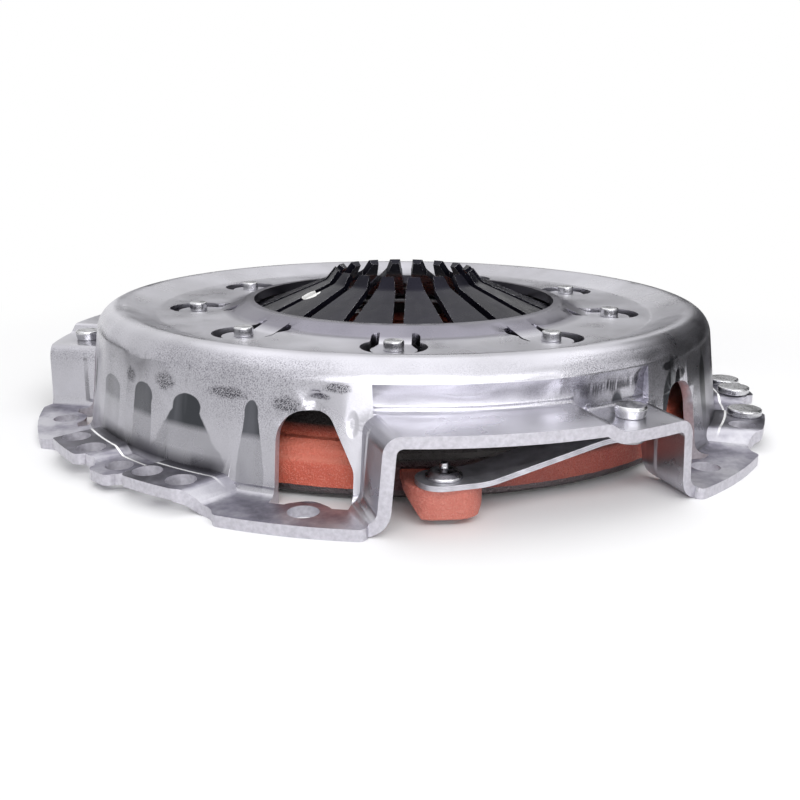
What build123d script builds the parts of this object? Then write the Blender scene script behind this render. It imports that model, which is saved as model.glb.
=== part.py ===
"""Diaphragm spring clutch cover assembly: a pressed steel cover, a diaphragm spring held between two
wire rings by nine shouldered rivets, a cast iron pressure plate, and three packs of drive straps.

Millimetres. The origin is the centre of the flywheel mounting face, +Z points away from the flywheel
to the release bearing, and the first of three strap pockets is centred on -Y. An angle is counted
from -Y towards +X. The assembly is drawn free, as it lies on a bench before it is bolted down.
"""
from build123d import *
import math
import os

# ---- driving dimensions ------------------------------------------------------------------------

# Pattern
POCKETS = 3                     # strap pockets, and the flange sectors between them
SECTOR = 360 / POCKETS
RIVETS = 9                      # rivets that carry the diaphragm spring
FINGERS = 18
RUNNING_GAP = 0.05              # between a rivet shank and its hole, and round the wire rings

# Cover sheet
SHEET = 3.2
COVER_R = 129.0                 # outer radius at the bolting pads
FOOT_R = 112.1                  # outer radius of the wall where it meets the flange
WALL_TAPER = 8.1                # degrees from the axis
FOOT_BEND = 3.0
CREST_DIP = 18.0                # slope of the crown's inner side, degrees
CREASE_R = 88.0                 # where the crown's inner side meets the flat top
SHOULDER_BEND = 8.0
CREASE_BEND = 5.0
TOP_Z = 37.0                    # upper face of the flat top
RIM_FOOT_R = 62.6               # raised rim round the opening
RIM_R = 57.0
RIM_Z = 40.0
RIM_BEND = 4.0
OPENING_R = 54.3
RIM_EDGE = 0.8                  # rounding of the opening's edge

# Bolting
BOLT_CIRCLE_R = 120.0
BOLT_HOLE_R = 4.2               # clears an M8 bolt
BOLT_ANGLE = 30.0               # from the pocket's centre line
DOWEL_HOLE_R = 4.0

# Strap pocket: a ledge on two folded walls
LEDGE_Z = 26.5
LEDGE_R = 126.5
PAD_Z = 23.8                    # lowered seat of the strap rivet
PAD_FROM = 19.0                 # along the ledge, where the lowered seat starts
PAD_RAMP = 4.5
FOLD_TOP = 43.0                 # half width at the ledge
FOLD_FOOT = 44.8                # half width at the flange
FOLD_BEND = 5.0
FOLD_FOOT_BEND = 4.0
LEDGE_RAMP_BEND = 4.0
RECESS_DEPTH = 2.0              # the wall is set back above the ledge
RECESS_TOP = 31.5
RECESS_RAMP = 3.5
RECESS_HALF = 40.5

# Arch windows in the wall, over the bolting pads
ARCH_HALF = 10.8
ARCH_TOP = 26.8
ARCH_SLANT_FROM = 11.5          # the side next to the pocket leans in above this height
ARCH_CROWN_HALF = 3.6
ARCH_BENDS = [9.0, 4.5, 6.0]
ARCH_FOOT_R = 116.6             # how far the window runs into the flange
BOLT_BOSS_R = 8.6               # flange left round the bolt hole
BOLT_BOSS_SHIFT = 2.0
DENT_R = 3.1                    # round dent above each window
DENT_DEPTH = 0.9
DENT_Z = 29.6

# Flange between the pockets: two raised balance pads and a dowel lug between them
BALANCE_Z = 7.3
BALANCE_R = 127.5
BALANCE_FROM = 10.6             # half widths along the flange
BALANCE_TO = 31.8
BALANCE_RAMP = 5.6
BALANCE_HOLE_CIRCLE_R = 121.0
BALANCE_HOLE_R = 4.2
BALANCE_ANGLES = (-13.0, -7.0, 7.0, 13.0)
DOWEL_Z = 5.2
DOWEL_HALF = 6.4
FLANGE_BEND = 3.6
NOTCH_R = 8.0                   # between a bolting pad and a balance pad
NOTCH_DEPTH = 4.6
NOTCH_ANGLE = 17.0
SLIT_R = 1.7                    # between the dowel lug and a balance pad
SLIT_DEPTH = 4.4
SLIT_ANGLE = 3.7
OUTLINE_ROUND = 2.5
SEAT_FILLET = 2.0               # where the ledge meets the wall

# Spring rivets and the tongues they sit on
RIVET_CIRCLE_R = 74.0
TONGUE_Z = 36.0
TONGUE_HALF = 6.9
TONGUE_NECK = 4.9
TONGUE_BEND_R = 66.5            # radius from the axis where the tongue levels out
TONGUE_WINDOW_R = 10.0
WINDOW_RELIEF_R = 60.0
WINDOW_RELIEF_HALF = 7.5
RIVET_HEAD_R = 3.05
RIVET_HEAD = 3.0
RIVET_STEM_R = 2.3
RIVET_SHANK_R = 3.5
RIVET_FLANGE_R = 7.4
RIVET_FLANGE = 2.1
HEAD_CHAMFER = 0.35

# Diaphragm spring and its wire rings
WIRE_R = 1.5
SPRING = 2.4                    # thickness
SPRING_R = 93.0
CONE_R = 58.5                   # inside this radius the fingers are steeper
CONE_ANGLE = 12.0
BEND_R = 28.5                   # where a finger turns up to its tip
FINGER_RISE = 12.3              # from the cone to there
TIP_R = 25.3
TIP_RISE = 4.0
SPRING_BEND = 6.0
TIP_BEND = 4.0
SLOT = 3.6
TIP_SLOT = 4.6
KEYHOLE_R = 4.6

# Pressure plate casting
PLATE_R = 103.5
PLATE_BORE_R = 72.5
FRICTION_Z = 1.6
PLATE_TOP = 15.6
STEP_Z = 10.6
STEP = 1.6
SHOULDER_Z = 13.8
SHOULDER_STEP = 2.2
RIDGE_R = 90.0                  # ring that the diaphragm spring presses on
RIDGE_ROUND = 3.0
RIDGE_HALF = 7.4                # half width of the ring's foot
RIDGE_GAP = 0.1
PLATE_EDGE = 0.8
LUG_TOP = 10.6
LUG_BOTTOM = 2.0
LUG_R = 120.2
LUG_HALF = 10.3
LUG_ROUND = 7.5
LUG_EDGE = 0.9
LUG_SLOPES = ((-1, 4.3, 6.4), (1, 1.8, 3.2))    # under each side: how far in it goes and how far up

# Drive straps
STRAP_LINE_R = 112.7            # from the axis to the strap's centre line
LUG_HOLE_X = -25.2              # its two holes, along it from the pocket's centre line
COVER_HOLE_X = 27.8
STRAP_HALF = 6.6
STRAP_END = 7.4                 # past the hole
LEAVES = 3
LEAF = 0.5
STRAP_FLAT = 9.8                # from each hole to the corner of its bend
STRAP_BEND = 25.0
STRAP_HOLE_R = 3.1
STRAP_SHANK_R = 3.0
LUG_RIVET_R = 4.9
LUG_RIVET_HEAD = 2.4
LUG_RIVET_NUB_R = 1.1
LUG_RIVET_NUB = 1.6
LUG_RIVET_TAIL_R = 3.7
LUG_RIVET_TAIL = 2.0
COVER_RIVET_R = 4.4
COVER_RIVET_FOOT_R = 3.9
COVER_RIVET_HEAD = 3.3
COVER_RIVET_TAIL_R = 4.8
COVER_RIVET_TAIL = 2.2

# Balance rivets: where they are fitted, as (sector, hole) in the pads' holes
BALANCE_RIVETS = ((0, 1), (0, 2), (0, 3))
BALANCE_HEAD_R = 5.5
BALANCE_HEAD = 2.3
BALANCE_TAIL_R = 4.8
BALANCE_TAIL = 1.9

BEYOND = 150.0                  # past everything, for cutting tools


# ---- helpers -----------------------------------------------------------------------------------

def turned(shape, angle):
    """The shape turned about the clutch axis."""
    return Rot(0, 0, angle) * shape


def at(radius, angle, z=0):
    """A location at a radius and angle, the angle counted from -Y towards +X."""
    return Rot(0, 0, angle) * Pos(0, -radius, z)


def mitred(points, distance):
    """The open polyline moved to its left by a distance."""
    moved = []
    for i, (x, y) in enumerate(points):
        directions = []
        for a, b in ((i - 1, i), (i, i + 1)):
            if a >= 0 and b < len(points):
                dx, dy = points[b][0] - points[a][0], points[b][1] - points[a][1]
                length = math.hypot(dx, dy)
                directions.append((dx / length, dy / length))
        (ux, uy), (vx, vy) = directions[0], directions[-1]
        scale = distance / (1 + ux * vx + uy * vy)
        moved.append((x - (uy + vy) * scale, y + (ux + vx) * scale))
    return moved


def turns_left(points, i):
    """True where the polyline turns left at its corner i."""
    (ax, ay), (bx, by), (cx, cy) = points[i - 1:i + 2]
    return (bx - ax) * (cy - by) - (by - ay) * (cx - bx) > 0


def bent_sheet(points, bends, thickness):
    """A bent sheet's section. The points are its face and the sheet lies to their left. The bends
    are the face's radii at the corners between the first point and the last."""
    back = mitred(points, thickness)
    back_bends = [bend + (-thickness if turns_left(points, i + 1) else thickness)
                  for i, bend in enumerate(bends)]
    face_line = FilletPolyline(*points, radius=bends)
    back_line = FilletPolyline(*back, radius=back_bends)
    return make_face(face_line + back_line + Line(points[0], back[0]) + Line(points[-1], back[-1]))


def under_line(points, bends, floor):
    """The area between a polyline with rounded corners and a level below it."""
    line = FilletPolyline(*points, radius=bends)
    (x0, y0), (x1, y1) = points[0], points[-1]
    return make_face(line + Polyline((x0, y0), (x0, floor), (x1, floor), (x1, y1)))


def lathe(section):
    """A section in radius and height, turned about the clutch axis."""
    return revolve(Plane.XZ * section, Axis.Z)


def outward(section):
    """A section in width and height, run out from the axis towards -Y."""
    return extrude(Plane.XZ * section, amount=BEYOND)


def ring(inner, outer, low, high):
    """A plain ring."""
    return Pos(0, 0, low) * extrude(Circle(outer) - Circle(inner), amount=high - low)


def corners_rounded(outline, radius):
    """An outline with its outward corners rounded."""
    return offset(offset(outline, -radius, kind=Kind.INTERSECTION), radius, kind=Kind.ARC)


def wall_r(z):
    """The outer radius of the cover's wall at a height."""
    return FOOT_R - (z - SHEET) * math.tan(math.radians(WALL_TAPER))


# ---- cover -------------------------------------------------------------------------------------

def cover_section():
    """The cover's section before its flange is shaped, from the flange edge to the opening."""
    taper = math.tan(math.radians(WALL_TAPER))
    dip = math.tan(math.radians(CREST_DIP))
    shoulder_z = (TOP_Z + (FOOT_R + SHEET * taper - CREASE_R) * dip) / (1 + taper * dip)
    points = [
        (COVER_R + SHEET, SHEET),
        (FOOT_R, SHEET),
        (wall_r(shoulder_z), shoulder_z),
        (CREASE_R, TOP_Z),
        (RIM_FOOT_R, TOP_Z),
        (RIM_R, RIM_Z),
        (OPENING_R, RIM_Z),
    ]
    return bent_sheet(points, [FOOT_BEND, SHOULDER_BEND, CREASE_BEND, RIM_BEND, RIM_BEND], SHEET)


def flange_outline():
    """The cover's outline seen from above."""
    outline = Circle(COVER_R)
    half_pocket = FOLD_FOOT + SHEET / 2
    beyond_ledge = Circle(COVER_R + SHEET) - Circle(LEDGE_R)
    beyond_pad = Circle(COVER_R + SHEET) - Circle(BALANCE_R)
    for i in range(POCKETS):
        pocket = i * SECTOR
        middle = pocket + SECTOR / 2
        outline -= turned(beyond_ledge & Pos(0, -COVER_R) * Rectangle(2 * half_pocket, COVER_R), pocket)
        pad_sweep = Pos(0, -COVER_R) * Rectangle(2 * (BALANCE_TO + BALANCE_RAMP / 2), COVER_R)
        outline -= turned(beyond_pad & pad_sweep, middle)
        for side in (-1, 1):
            notch = at(COVER_R - NOTCH_DEPTH + NOTCH_R, middle + side * NOTCH_ANGLE)
            outline -= notch * Circle(NOTCH_R)
            slit_end = BALANCE_R - SLIT_DEPTH + SLIT_R
            slit = Circle(SLIT_R) + Pos(0, -SLIT_DEPTH) * Trapezoid(6 * SLIT_R, 2 * SLIT_DEPTH, 76)
            outline -= at(slit_end, middle + side * SLIT_ANGLE) * slit
    return corners_rounded(outline, OUTLINE_ROUND)


def pocket_line():
    """The upper face of flange, folded walls and ledge across one pocket, from +X to -X."""
    far = FOLD_FOOT + 3 * FOLD_FOOT_BEND
    lean = (FOLD_FOOT - FOLD_TOP) / (LEDGE_Z - SHEET)
    pad_half = FOLD_TOP + (LEDGE_Z - PAD_Z) * lean
    points = [
        (far, SHEET),
        (FOLD_FOOT, SHEET),
        (pad_half, PAD_Z),
        (PAD_FROM, PAD_Z),
        (PAD_FROM - PAD_RAMP, LEDGE_Z),
        (-FOLD_TOP, LEDGE_Z),
        (-FOLD_FOOT, SHEET),
        (-far, SHEET),
    ]
    bends = [FOLD_FOOT_BEND, FOLD_BEND, LEDGE_RAMP_BEND, LEDGE_RAMP_BEND, FOLD_BEND, FOLD_FOOT_BEND]
    return points, bends


def balance_line():
    """The upper face of the flange between two pockets, from +X to -X."""
    half = [
        (BALANCE_TO + BALANCE_RAMP + 3 * FLANGE_BEND, SHEET),
        (BALANCE_TO + BALANCE_RAMP, SHEET),
        (BALANCE_TO, BALANCE_Z),
        (BALANCE_FROM, BALANCE_Z),
        (DOWEL_HALF, DOWEL_Z),
    ]
    points = half + [(-x, z) for x, z in reversed(half)]
    return points, [FLANGE_BEND] * (len(points) - 2)


def formed_flange(shell, line, angle, top_r):
    """The shell with its flange pressed to a line round one angle. The pressed strip ends inside the
    wall, which is met at top_r under the ledge's height."""
    points, bends = line
    wall_back = FOOT_R - SHEET / math.cos(math.radians(WALL_TAPER))
    core = Cone(wall_back, top_r, LEDGE_Z, align=(Align.CENTER, Align.CENTER, Align.MIN))
    strip = outward(bent_sheet(points, bends, SHEET)) - core
    shell -= turned(outward(under_line(points, bends, -SHEET)), angle)
    return shell + turned(strip, angle)


def stretch(start, end):
    """All that lies outward of the axis between two widths."""
    return outward(Pos((start + end) / 2, 0) * Rectangle(end - start, 4 * LEDGE_Z))


def seat_fillet(centre_r, seat_z):
    """The metal in the inner corner between a wall and a level seat, round the clutch axis."""
    size = SEAT_FILLET + SHEET / 2
    corner = Pos(centre_r - size / 2, seat_z + SEAT_FILLET - size / 2) * Rectangle(size, size)
    return lathe(corner - Pos(centre_r, seat_z + SEAT_FILLET) * Circle(SEAT_FILLET))


def recess_face_r():
    """The radius of the wall's outside where it is set back above a ledge."""
    return wall_r(RECESS_TOP) - RECESS_DEPTH


def recess_backing(seat_z):
    """The wall behind the recess, down to the underside of a seat, round the clutch axis."""
    face_r = recess_face_r()
    return lathe(Polygon(
        (face_r - SHEET, seat_z - SHEET), (face_r, seat_z - SHEET), (face_r, RECESS_TOP + RECESS_RAMP),
        (face_r - SHEET + RECESS_DEPTH, RECESS_TOP + RECESS_RAMP), (face_r - SHEET, RECESS_TOP), align=None,
    ))


def recess(angle):
    """What is cut from the wall's outside, and added to its inside, where it is set back above a
    ledge. The backing runs down to the underside of the ledge and of its lowered seat."""
    face_r = recess_face_r()
    outside = face_r + 2 * RECESS_DEPTH + SHEET
    above_line = outward(Pos(0, LEDGE_Z) * Rectangle(2 * RECESS_HALF, LEDGE_Z))
    above_line -= outward(under_line(*pocket_line(), -SHEET))
    cut = Polygon(
        (face_r, PAD_Z), (outside, PAD_Z), (outside, RECESS_TOP + 2 * RECESS_RAMP),
        (face_r + RECESS_DEPTH, RECESS_TOP + RECESS_RAMP), (face_r, RECESS_TOP), align=None,
    )
    ramp = PAD_FROM - PAD_RAMP
    cut = turned(lathe(cut) & above_line, angle)
    return cut, [turned(piece, angle) for piece in (
        recess_backing(LEDGE_Z) & stretch(-RECESS_HALF, PAD_FROM),
        recess_backing(PAD_Z) & stretch(ramp, RECESS_HALF),
        seat_fillet(face_r + SEAT_FILLET, LEDGE_Z) & stretch(-RECESS_HALF, ramp),
        seat_fillet(face_r + SEAT_FILLET, PAD_Z) & stretch(PAD_FROM, RECESS_HALF),
    )]


def arch_window(angle, side):
    """The tool that cuts the arch window over one bolting pad. Side is where the pocket lies."""
    points = [
        (-side * ARCH_HALF, -SHEET),
        (-side * ARCH_HALF, ARCH_TOP),
        (side * ARCH_CROWN_HALF, ARCH_TOP),
        (side * ARCH_HALF, ARCH_SLANT_FROM),
        (side * ARCH_HALF, -SHEET),
    ]
    opening = make_face(FilletPolyline(*points, radius=ARCH_BENDS) + Line(points[-1], points[0]))
    tool = outward(opening) & ring(RECESS_DEPTH + RIDGE_R, ARCH_FOOT_R, -SHEET, LEDGE_Z + SHEET)
    boss = at(BOLT_CIRCLE_R + BOLT_BOSS_SHIFT, 0, -SHEET) * extrude(Circle(BOLT_BOSS_R), amount=4 * SHEET)
    return turned(tool - boss, angle)


def wall_dent(angle):
    """A shallow round dent in the wall above an arch window."""
    ball_r = (DENT_R ** 2 + DENT_DEPTH ** 2) / (2 * DENT_DEPTH)
    return at(wall_r(DENT_Z) - DENT_DEPTH + ball_r, angle, DENT_Z) * Sphere(ball_r)


def tongue_window(angle):
    """The window round one spring rivet tongue."""
    middle = (WINDOW_RELIEF_R + RIVET_CIRCLE_R) / 2
    relief = Pos(0, -middle) * RectangleRounded(
        2 * WINDOW_RELIEF_HALF, RIVET_CIRCLE_R - WINDOW_RELIEF_R, TONGUE_WINDOW_R / 6)
    hole = Pos(0, -RIVET_CIRCLE_R) * Circle(TONGUE_WINDOW_R) + relief
    return turned(Pos(0, 0, TOP_Z - 3 * SHEET) * extrude(hole, amount=6 * SHEET), angle)


def tongue(angle):
    """The tongue that carries one spring rivet, joined to the raised rim."""
    end_r = RIVET_CIRCLE_R + TONGUE_HALF + SHEET
    points = [(end_r, TONGUE_Z), (TONGUE_BEND_R, TONGUE_Z), (RIM_R, RIM_Z - RIM_EDGE / 2)]
    strip = extrude(Plane.YZ * (Rot(0, 180, 0) * bent_sheet(points, [RIM_BEND], SHEET)), amount=TONGUE_HALF,
                    both=True)
    neck = Polygon(
        (-TONGUE_NECK, -RIM_R), (-TONGUE_NECK, -TONGUE_BEND_R), (-TONGUE_HALF, -RIVET_CIRCLE_R),
        (TONGUE_HALF, -RIVET_CIRCLE_R), (TONGUE_NECK, -TONGUE_BEND_R), (TONGUE_NECK, -RIM_R), align=None,
    )
    outline = neck + Pos(0, -RIVET_CIRCLE_R) * Circle(TONGUE_HALF)
    return turned(strip & extrude(outline, amount=RIM_Z + SHEET), angle)


def make_cover():
    """The pressed steel cover."""
    shell = lathe(cover_section())
    for i in range(POCKETS):
        shell = formed_flange(shell, pocket_line(), i * SECTOR, recess_face_r() - SHEET)
        shell = formed_flange(shell, balance_line(), (i + 0.5) * SECTOR, wall_r(LEDGE_Z) - SHEET)
    shell &= extrude(flange_outline(), amount=RIM_Z + SHEET)
    for i in range(POCKETS):
        pocket = i * SECTOR
        cut, added = recess(pocket)
        shell -= cut
        for piece in added:
            shell += piece
        for side in (-1, 1):
            shell -= arch_window(pocket + side * BOLT_ANGLE, -side)
            shell -= wall_dent(pocket + side * BOLT_ANGLE)
            shell -= at(BOLT_CIRCLE_R, pocket + side * BOLT_ANGLE) * Cylinder(BOLT_HOLE_R, 4 * SHEET)
        middle = pocket + SECTOR / 2
        shell -= at(BOLT_CIRCLE_R, middle) * Cylinder(DOWEL_HOLE_R, 6 * SHEET)
        for angle in BALANCE_ANGLES:
            shell -= at(BALANCE_HOLE_CIRCLE_R, middle + angle) * Cylinder(BALANCE_HOLE_R, 6 * SHEET)
        strap_hole = Pos(COVER_HOLE_X, -STRAP_LINE_R, PAD_Z) * Cylinder(STRAP_HOLE_R, 4 * SHEET)
        shell -= turned(strap_hole, pocket)
    for i in range(RIVETS):
        angle = (i + 0.5) * 360 / RIVETS
        shell -= tongue_window(angle)
        shell += tongue(angle)
        shell -= at(RIVET_CIRCLE_R, angle, TONGUE_Z) * Cylinder(RIVET_STEM_R + RUNNING_GAP, 4 * SHEET)
    return shell


# ---- diaphragm spring and wire rings -------------------------------------------------------------

def fulcrum():
    """Where the spring lies between its wire rings: the rings' radius, the upper ring's height, the
    spring's upper face at that radius, and the lower ring's height."""
    cone = math.cos(math.radians(CONE_ANGLE))
    ring_r = RIVET_CIRCLE_R + RIVET_SHANK_R + RUNNING_GAP + WIRE_R
    upper_z = TONGUE_Z - SHEET - WIRE_R
    face_z = upper_z - (WIRE_R + RUNNING_GAP) / cone
    lower_z = face_z - (SPRING + WIRE_R + RUNNING_GAP) / cone
    return ring_r, upper_z, face_z, lower_z


def spring_face():
    """The spring's upper face in radius and height, from its outer edge to a finger's tip."""
    ring_r, _, face_z, _ = fulcrum()
    slope = math.tan(math.radians(CONE_ANGLE))
    cone_z = face_z + (ring_r - CONE_R) * slope
    bend_z = cone_z + FINGER_RISE
    return [
        (SPRING_R, face_z - (SPRING_R - ring_r) * slope),
        (CONE_R, cone_z),
        (BEND_R, bend_z),
        (TIP_R, bend_z + TIP_RISE),
    ]


def make_diaphragm_spring():
    """The spring: a cone with slots that part it into fingers, each slot ending in a keyhole."""
    points = spring_face()
    spring = lathe(bent_sheet(points, [4 * SPRING_BEND, TIP_BEND], SPRING))
    taper = math.degrees(math.atan2(2 * (BEND_R - TIP_R), TIP_SLOT - SLOT))
    root = RIVET_CIRCLE_R - TIP_R
    slot = Pos(0, -TIP_R - root / 2) * Rectangle(SLOT, root) + Pos(0, -RIVET_CIRCLE_R) * Circle(KEYHOLE_R)
    mouth = Pos(0, -TIP_R - (BEND_R - TIP_R) / 2 + SPRING / 2) * Trapezoid(
        TIP_SLOT + (TIP_SLOT - SLOT), BEND_R - TIP_R + SPRING, taper, rotation=180)
    tool = extrude(slot + mouth, amount=points[-1][1] + SPRING)
    for i in range(FINGERS):
        spring -= turned(tool, i * 360 / FINGERS)
    return spring


def make_wire_ring(z):
    """A wire ring that the spring rocks on."""
    return Pos(0, 0, z) * Torus(fulcrum()[0], WIRE_R)


def make_spring_rivet(angle):
    """A shouldered rivet: its flange holds the lower ring, its shank runs through a keyhole, and its
    stem is closed over the tongue."""
    lower_ring_foot = fulcrum()[3] - WIRE_R - RUNNING_GAP
    seat = TONGUE_Z - SHEET
    section = Polygon(
        (0, lower_ring_foot - RIVET_FLANGE),
        (RIVET_FLANGE_R - HEAD_CHAMFER, lower_ring_foot - RIVET_FLANGE),
        (RIVET_FLANGE_R, lower_ring_foot - RIVET_FLANGE + HEAD_CHAMFER),
        (RIVET_FLANGE_R, lower_ring_foot),
        (RIVET_SHANK_R, lower_ring_foot),
        (RIVET_SHANK_R, seat),
        (RIVET_STEM_R, seat),
        (RIVET_STEM_R, TONGUE_Z),
        (RIVET_HEAD_R, TONGUE_Z),
        (RIVET_HEAD_R, TONGUE_Z + RIVET_HEAD - HEAD_CHAMFER),
        (RIVET_HEAD_R - HEAD_CHAMFER, TONGUE_Z + RIVET_HEAD),
        (0, TONGUE_Z + RIVET_HEAD),
        align=None,
    )
    return at(RIVET_CIRCLE_R, angle) * lathe(section)


# ---- pressure plate ------------------------------------------------------------------------------

def plate_section():
    """The casting's section: friction ring, stepped outer side and the ring the spring presses on."""
    ring_r, _, face_z, _ = fulcrum()
    cone = math.radians(CONE_ANGLE)
    spring_back = face_z - SPRING / math.cos(cone) - (RIDGE_R - ring_r) * math.tan(cone)
    ridge_z = spring_back - (RIDGE_ROUND + RIDGE_GAP) / math.cos(cone)
    foot_out, foot_in = RIDGE_R + RIDGE_HALF, RIDGE_R - RIDGE_HALF
    body = Polygon(
        (PLATE_BORE_R, FRICTION_Z + PLATE_EDGE), (PLATE_BORE_R + PLATE_EDGE, FRICTION_Z),
        (PLATE_R - PLATE_EDGE, FRICTION_Z), (PLATE_R, FRICTION_Z + PLATE_EDGE),
        (PLATE_R, STEP_Z), (PLATE_R - STEP, STEP_Z + STEP),
        (PLATE_R - STEP, SHOULDER_Z), (PLATE_R - STEP - SHOULDER_STEP, SHOULDER_Z + SHOULDER_STEP),
        (foot_out, SHOULDER_Z + SHOULDER_STEP), (RIDGE_R + RIDGE_ROUND, ridge_z), (RIDGE_R, ridge_z),
        (RIDGE_R - RIDGE_ROUND, ridge_z), (foot_in, PLATE_TOP),
        (PLATE_BORE_R + STEP, PLATE_TOP), (PLATE_BORE_R, PLATE_TOP - STEP), align=None,
    )
    return body + Pos(RIDGE_R, ridge_z) * Circle(RIDGE_ROUND)


def lug_middle():
    """Radius and angle of a strap hole on the casting's lug, from the pocket's centre line."""
    return math.hypot(STRAP_LINE_R, LUG_HOLE_X), math.degrees(math.atan2(LUG_HOLE_X, STRAP_LINE_R))


def make_lug():
    """One lug on -Y, with its rivet hole and a recess for the rivet's tail."""
    hole_r, _ = lug_middle()
    root = PLATE_R - LUG_HALF
    outline = Pos(0, -(root + LUG_R) / 2) * RectangleRounded(2 * LUG_HALF, LUG_R - root, LUG_ROUND)
    lug = Pos(0, 0, LUG_BOTTOM) * extrude(outline, amount=LUG_TOP - LUG_BOTTOM)
    lug = chamfer(lug.edges().group_by(Axis.Z)[-1] + lug.edges().group_by(Axis.Z)[0], LUG_EDGE / 2)
    for side, inward, upward in LUG_SLOPES:
        corner = side * LUG_HALF
        slope = Polygon((corner - side * inward, LUG_BOTTOM), (corner + side * inward, LUG_BOTTOM),
                        (corner + side * inward, LUG_BOTTOM + 2 * upward), align=None)
        lug -= extrude(Plane.XZ * slope, amount=BEYOND, both=True)
    lug -= Pos(0, -hole_r, LUG_BOTTOM) * Cylinder(STRAP_HOLE_R, 4 * LUG_TOP)
    return lug - Pos(0, -hole_r, LUG_BOTTOM) * Cylinder(LUG_RIVET_TAIL_R + RUNNING_GAP, 2 * LUG_RIVET_TAIL)


def make_pressure_plate():
    """The cast iron pressure plate."""
    plate = lathe(plate_section())
    for i in range(POCKETS):
        plate += turned(make_lug(), i * SECTOR + lug_middle()[1])
    return plate


# ---- drive straps and their rivets ----------------------------------------------------------------

def strap_line():
    """The underside of a strap pack on -Y, from the lug's end to the cover's end, and its bends."""
    low, high = LUG_TOP, PAD_Z - SHEET - LEAVES * LEAF
    points = [(LUG_HOLE_X - STRAP_END, low), (LUG_HOLE_X + STRAP_FLAT, low),
              (COVER_HOLE_X - STRAP_FLAT, high), (COVER_HOLE_X + STRAP_END, high)]
    return points, [STRAP_BEND, STRAP_BEND]


def make_strap_leaf(angle, leaf):
    """One leaf of a strap pack, counted from the lowest."""
    points, bends = strap_line()
    leaf_points = mitred(points, leaf * LEAF)
    leaf_points = [(points[0][0], leaf_points[0][1])] + leaf_points[1:-1] + [(points[-1][0], leaf_points[-1][1])]
    leaf_bends = [bends[0] - leaf * LEAF, bends[1] + leaf * LEAF]
    strip = outward(bent_sheet(leaf_points, leaf_bends, LEAF))
    length = COVER_HOLE_X - LUG_HOLE_X + 2 * STRAP_END
    middle = (LUG_HOLE_X + COVER_HOLE_X) / 2
    outline = Pos(middle, -STRAP_LINE_R) * RectangleRounded(length, 2 * STRAP_HALF, STRAP_HALF - LEAF)
    for x in (LUG_HOLE_X, COVER_HOLE_X):
        outline -= Pos(x, -STRAP_LINE_R) * Circle(STRAP_HOLE_R)
    return turned(strip & extrude(outline, amount=LEDGE_Z), angle)


def rivet_body(profile, angle, x):
    """A rivet from its half profile in radius and height, at one of a pocket's two strap holes."""
    return turned(Pos(x, -STRAP_LINE_R) * lathe(Polygon(*profile, align=None)), angle)


def make_lug_rivet(angle):
    """The rivet that closes a strap pack onto the casting's lug, its head up and its tail sunk."""
    seat = LUG_TOP + LEAVES * LEAF
    head_top = seat + LUG_RIVET_HEAD
    tail_top = LUG_BOTTOM + LUG_RIVET_TAIL
    profile = [
        (0, LUG_BOTTOM), (LUG_RIVET_TAIL_R - HEAD_CHAMFER, LUG_BOTTOM),
        (LUG_RIVET_TAIL_R, LUG_BOTTOM + HEAD_CHAMFER), (LUG_RIVET_TAIL_R, tail_top),
        (STRAP_SHANK_R, tail_top), (STRAP_SHANK_R, seat), (LUG_RIVET_R, seat),
        (LUG_RIVET_R, seat + LUG_RIVET_HEAD / 3), (LUG_RIVET_R * 0.7, head_top - HEAD_CHAMFER),
        (LUG_RIVET_NUB_R * 1.4, head_top), (LUG_RIVET_NUB_R, head_top + HEAD_CHAMFER),
        (LUG_RIVET_NUB_R, head_top + LUG_RIVET_NUB), (0, head_top + LUG_RIVET_NUB),
    ]
    return rivet_body(profile, angle, LUG_HOLE_X)


def make_cover_strap_rivet(angle):
    """The rivet that closes a strap pack onto the lowered pad of the ledge."""
    under = PAD_Z - SHEET - LEAVES * LEAF
    head_top = PAD_Z + COVER_RIVET_HEAD
    profile = [
        (0, under - COVER_RIVET_TAIL), (COVER_RIVET_TAIL_R * 0.8, under - COVER_RIVET_TAIL),
        (COVER_RIVET_TAIL_R, under - COVER_RIVET_TAIL / 2), (COVER_RIVET_TAIL_R, under),
        (STRAP_SHANK_R, under), (STRAP_SHANK_R, PAD_Z), (COVER_RIVET_FOOT_R, PAD_Z),
        (COVER_RIVET_R, head_top - 2 * HEAD_CHAMFER), (COVER_RIVET_R - HEAD_CHAMFER, head_top), (0, head_top),
    ]
    return rivet_body(profile, angle, COVER_HOLE_X)


def make_balance_rivet(angle):
    """A flat headed balance rivet in one hole of a raised pad. Its tail flares below the bends beside
    the hole."""
    under = BALANCE_Z - SHEET
    shank_r = BALANCE_HOLE_R - RUNNING_GAP
    head_top = BALANCE_Z + BALANCE_HEAD
    section = Polygon(
        (0, under - BALANCE_TAIL), (BALANCE_TAIL_R - HEAD_CHAMFER, under - BALANCE_TAIL),
        (BALANCE_TAIL_R, under - BALANCE_TAIL + HEAD_CHAMFER), (BALANCE_TAIL_R, under - BALANCE_TAIL / 2),
        (shank_r, under - BALANCE_TAIL / 4), (shank_r, BALANCE_Z), (BALANCE_HEAD_R, BALANCE_Z),
        (BALANCE_HEAD_R, head_top - HEAD_CHAMFER),
        (BALANCE_HEAD_R - HEAD_CHAMFER, head_top), (0, head_top), align=None,
    )
    return at(BALANCE_HOLE_CIRCLE_R, angle) * lathe(section)


# ---- the assembly -----------------------------------------------------------------------------------

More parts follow.
